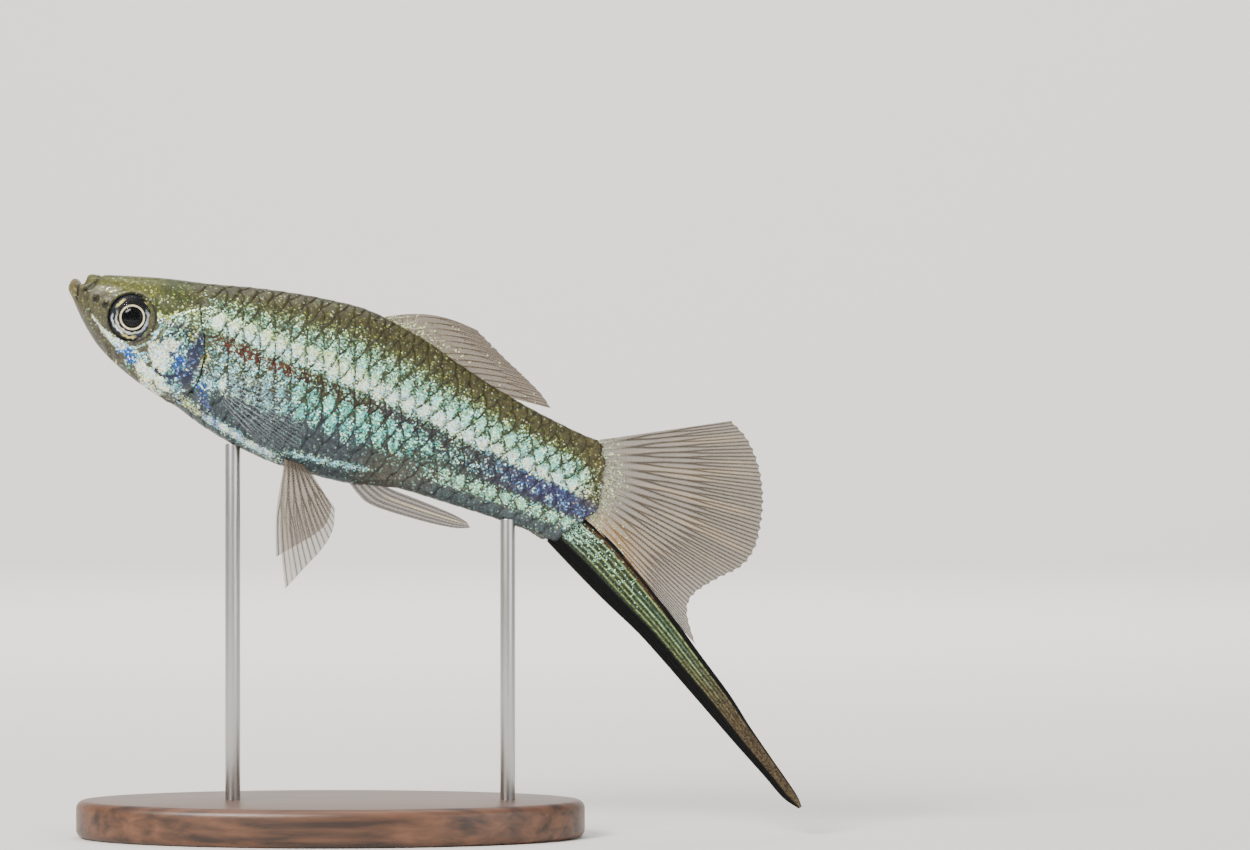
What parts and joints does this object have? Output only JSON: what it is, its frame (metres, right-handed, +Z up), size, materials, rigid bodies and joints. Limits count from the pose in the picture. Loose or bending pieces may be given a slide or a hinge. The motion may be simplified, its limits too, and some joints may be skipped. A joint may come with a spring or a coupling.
{
  "type": "swordtail fish model",
  "caption": "Life-size male swordtail, nose up, long lower tail sword trailing, held on an oval display base by thin rods.",
  "frame": {"origin": "centre of the oval base's underside", "axes": "+X from the nose toward the tail along the base, +Y toward the fish's right side, +Z up"},
  "size_m": [0.078, 0.028, 0.06],
  "materials": {
    "skin": "scaled and iridescent, olive back, mint and blue flank",
    "gill_silver": "mirror silver with blue",
    "eye": "clear, over a silver and gold iris and a black pupil",
    "fin": "thin and clear, with brown rays",
    "sword": "green rays between black edges",
    "stand_wood": "dark, satin",
    "stand_steel": "brushed"
  },
  "bodies": {
    "root": {"head": "skin", "lower_jaw": "skin", "gill_cover_left": "gill_silver", "gill_cover_right": "gill_silver", "eye_left": "eye", "eye_right": "eye", "trunk": "skin", "tail_root": "skin", "dorsal_fin": "fin", "tail_fan": "fin", "sword": "sword", "gonopodium": "fin", "pectoral_fin_left": "fin", "pectoral_fin_right": "fin", "pelvic_fin_left": "fin", "pelvic_fin_right": "fin", "stand_base": "stand_wood", "stand_rod_front": "stand_steel", "stand_rod_rear": "stand_steel"}
  },
  "joints": []
}
